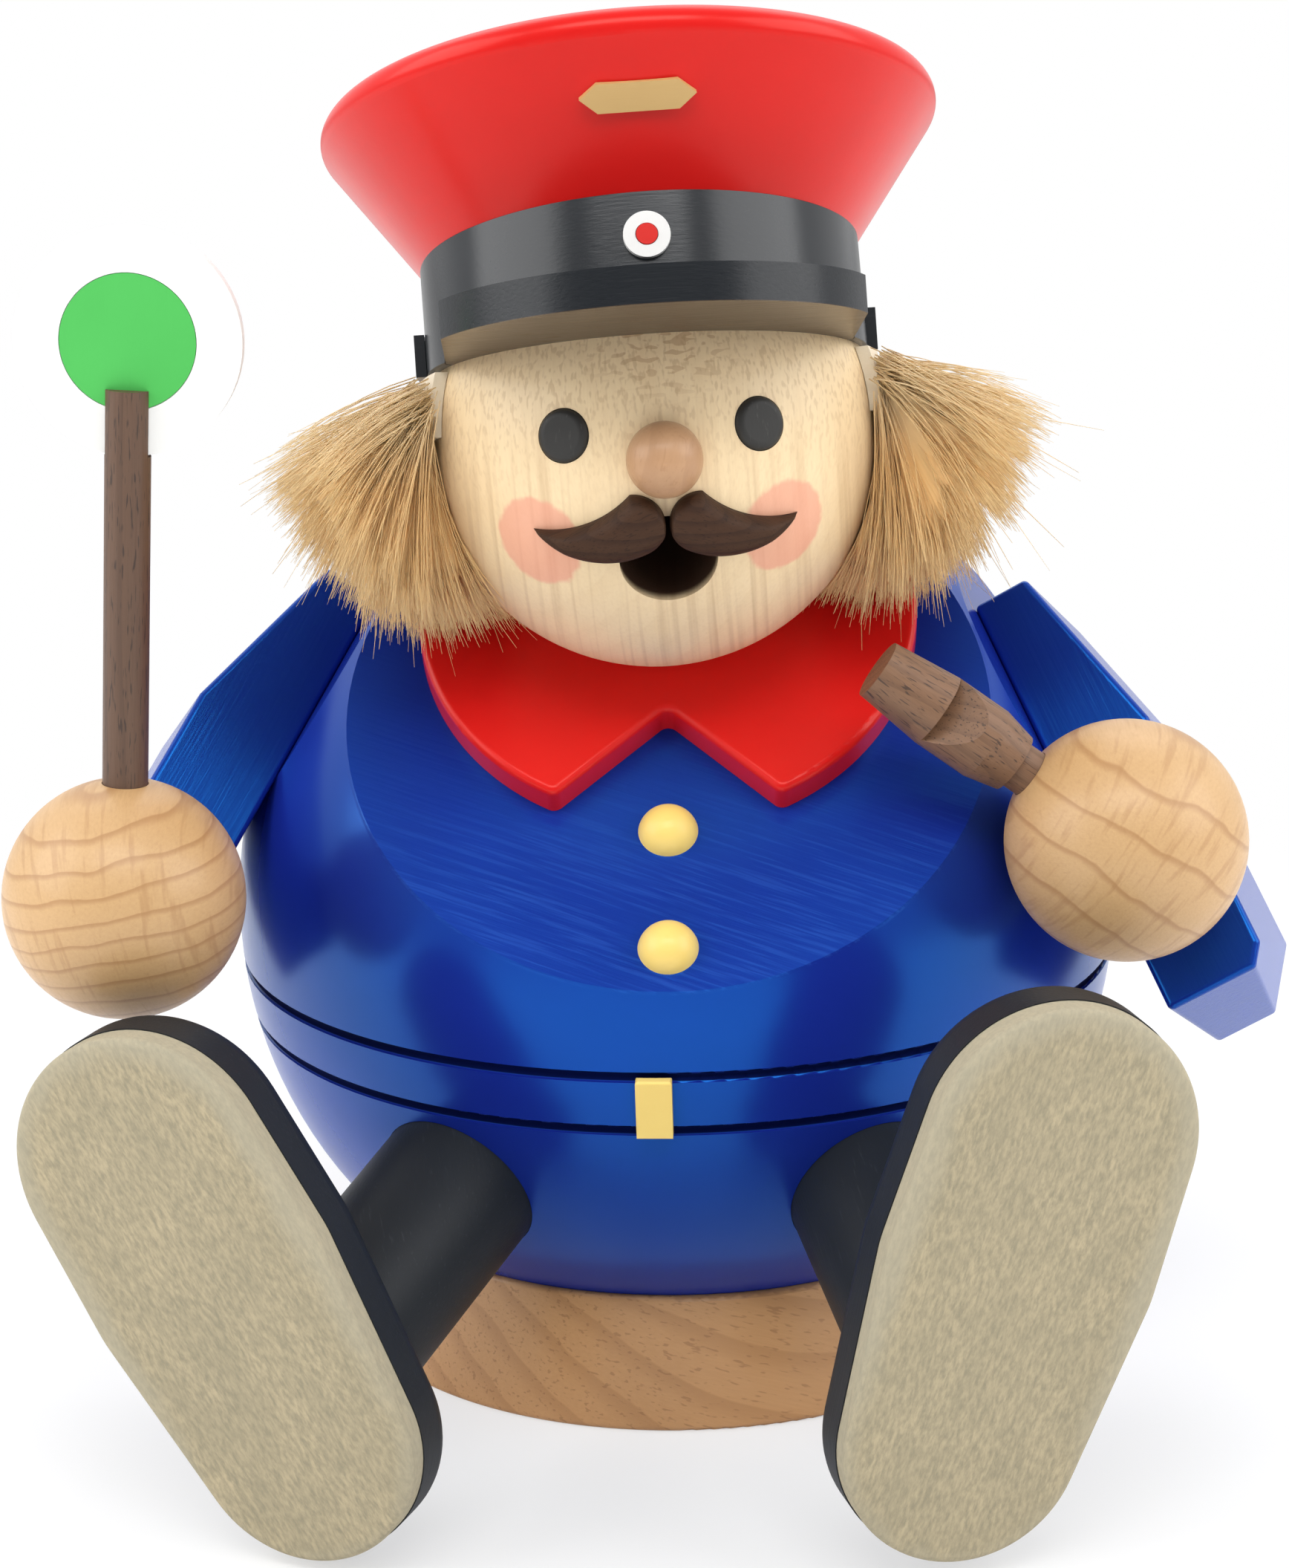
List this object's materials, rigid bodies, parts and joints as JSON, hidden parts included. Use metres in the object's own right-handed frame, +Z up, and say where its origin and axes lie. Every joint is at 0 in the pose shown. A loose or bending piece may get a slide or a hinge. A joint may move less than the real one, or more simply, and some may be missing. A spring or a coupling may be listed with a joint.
{
  "type": "incense smoker figure",
  "caption": "Seated station-master incense smoker in turned wood: hollow ball body that opens at the waist, burner dish inside, smoke bore to the open mouth.",
  "frame": {"origin": "centre of the foot disc's underside, on the table", "axes": "+Z up along the ball's turning axis, -Y is where the figure looks, +X is the figure's left"},
  "size_m": [0.1024, 0.0951, 0.1131],
  "materials": {
    "beech": "turned natural beech, satin",
    "blue_lacquer": "gloss blue stain and lacquer on turned wood",
    "black_lacquer": "satin black stain on wood",
    "red_lacquer": "gloss red lacquer on wood",
    "sole_wood": "sanded grey-brown board",
    "maple": "turned natural maple, satin",
    "nose_wood": "turned natural wood, satin",
    "dark_wood": "dark stained wood",
    "walnut": "brown stained wood with open pores",
    "dowel_wood": "plain hardwood dowel",
    "gold": "gold paint on wood",
    "white_paint": "matt white paint",
    "green_paint": "matt green paint",
    "sheet_metal": "pressed sheet steel",
    "hide": "bare hide",
    "fur": "long blond fur"
  },
  "bodies": {
    "lower_half": {"foot_disc": "beech", "lower_body": "blue_lacquer", "belt_buckle": "gold", "burner_dish": "sheet_metal", "dish_tack": "sheet_metal", "leg_left": "black_lacquer", "leg_right": "black_lacquer", "shoe_left": "black_lacquer", "shoe_right": "black_lacquer", "sole_left": "sole_wood", "sole_right": "sole_wood"},
    "upper_half": {"upper_body": "blue_lacquer", "collar": "red_lacquer", "button_upper": "gold", "button_lower": "gold", "head": "maple", "eye_left": "black_lacquer", "eye_right": "black_lacquer", "nose": "nose_wood", "moustache_left": "dark_wood", "moustache_right": "dark_wood", "hide_strip": "hide", "hair_fringe": "fur", "cap_rim": "black_lacquer", "cap_band": "black_lacquer", "cap_crown": "red_lacquer", "cap_visor": "black_lacquer", "cockade_disc": "white_paint", "cockade_centre": "red_lacquer", "cap_badge": "gold", "arm_left": "blue_lacquer", "arm_right": "blue_lacquer", "arm_dowel_left": "dowel_wood", "arm_dowel_right": "dowel_wood", "hand_left": "beech", "hand_right": "beech", "hand_dowel_left": "dowel_wood", "hand_dowel_right": "dowel_wood", "baton_stick": "walnut", "signal_disc": "white_paint", "signal_centre": "green_paint", "whistle": "walnut"}
  },
  "joints": [
    {"name": "upper_lift", "type": "slide", "parent": "lower_half", "child": "upper_half", "axis": [0, 0, 1], "range_m": [0, 0.06]}
  ]
}
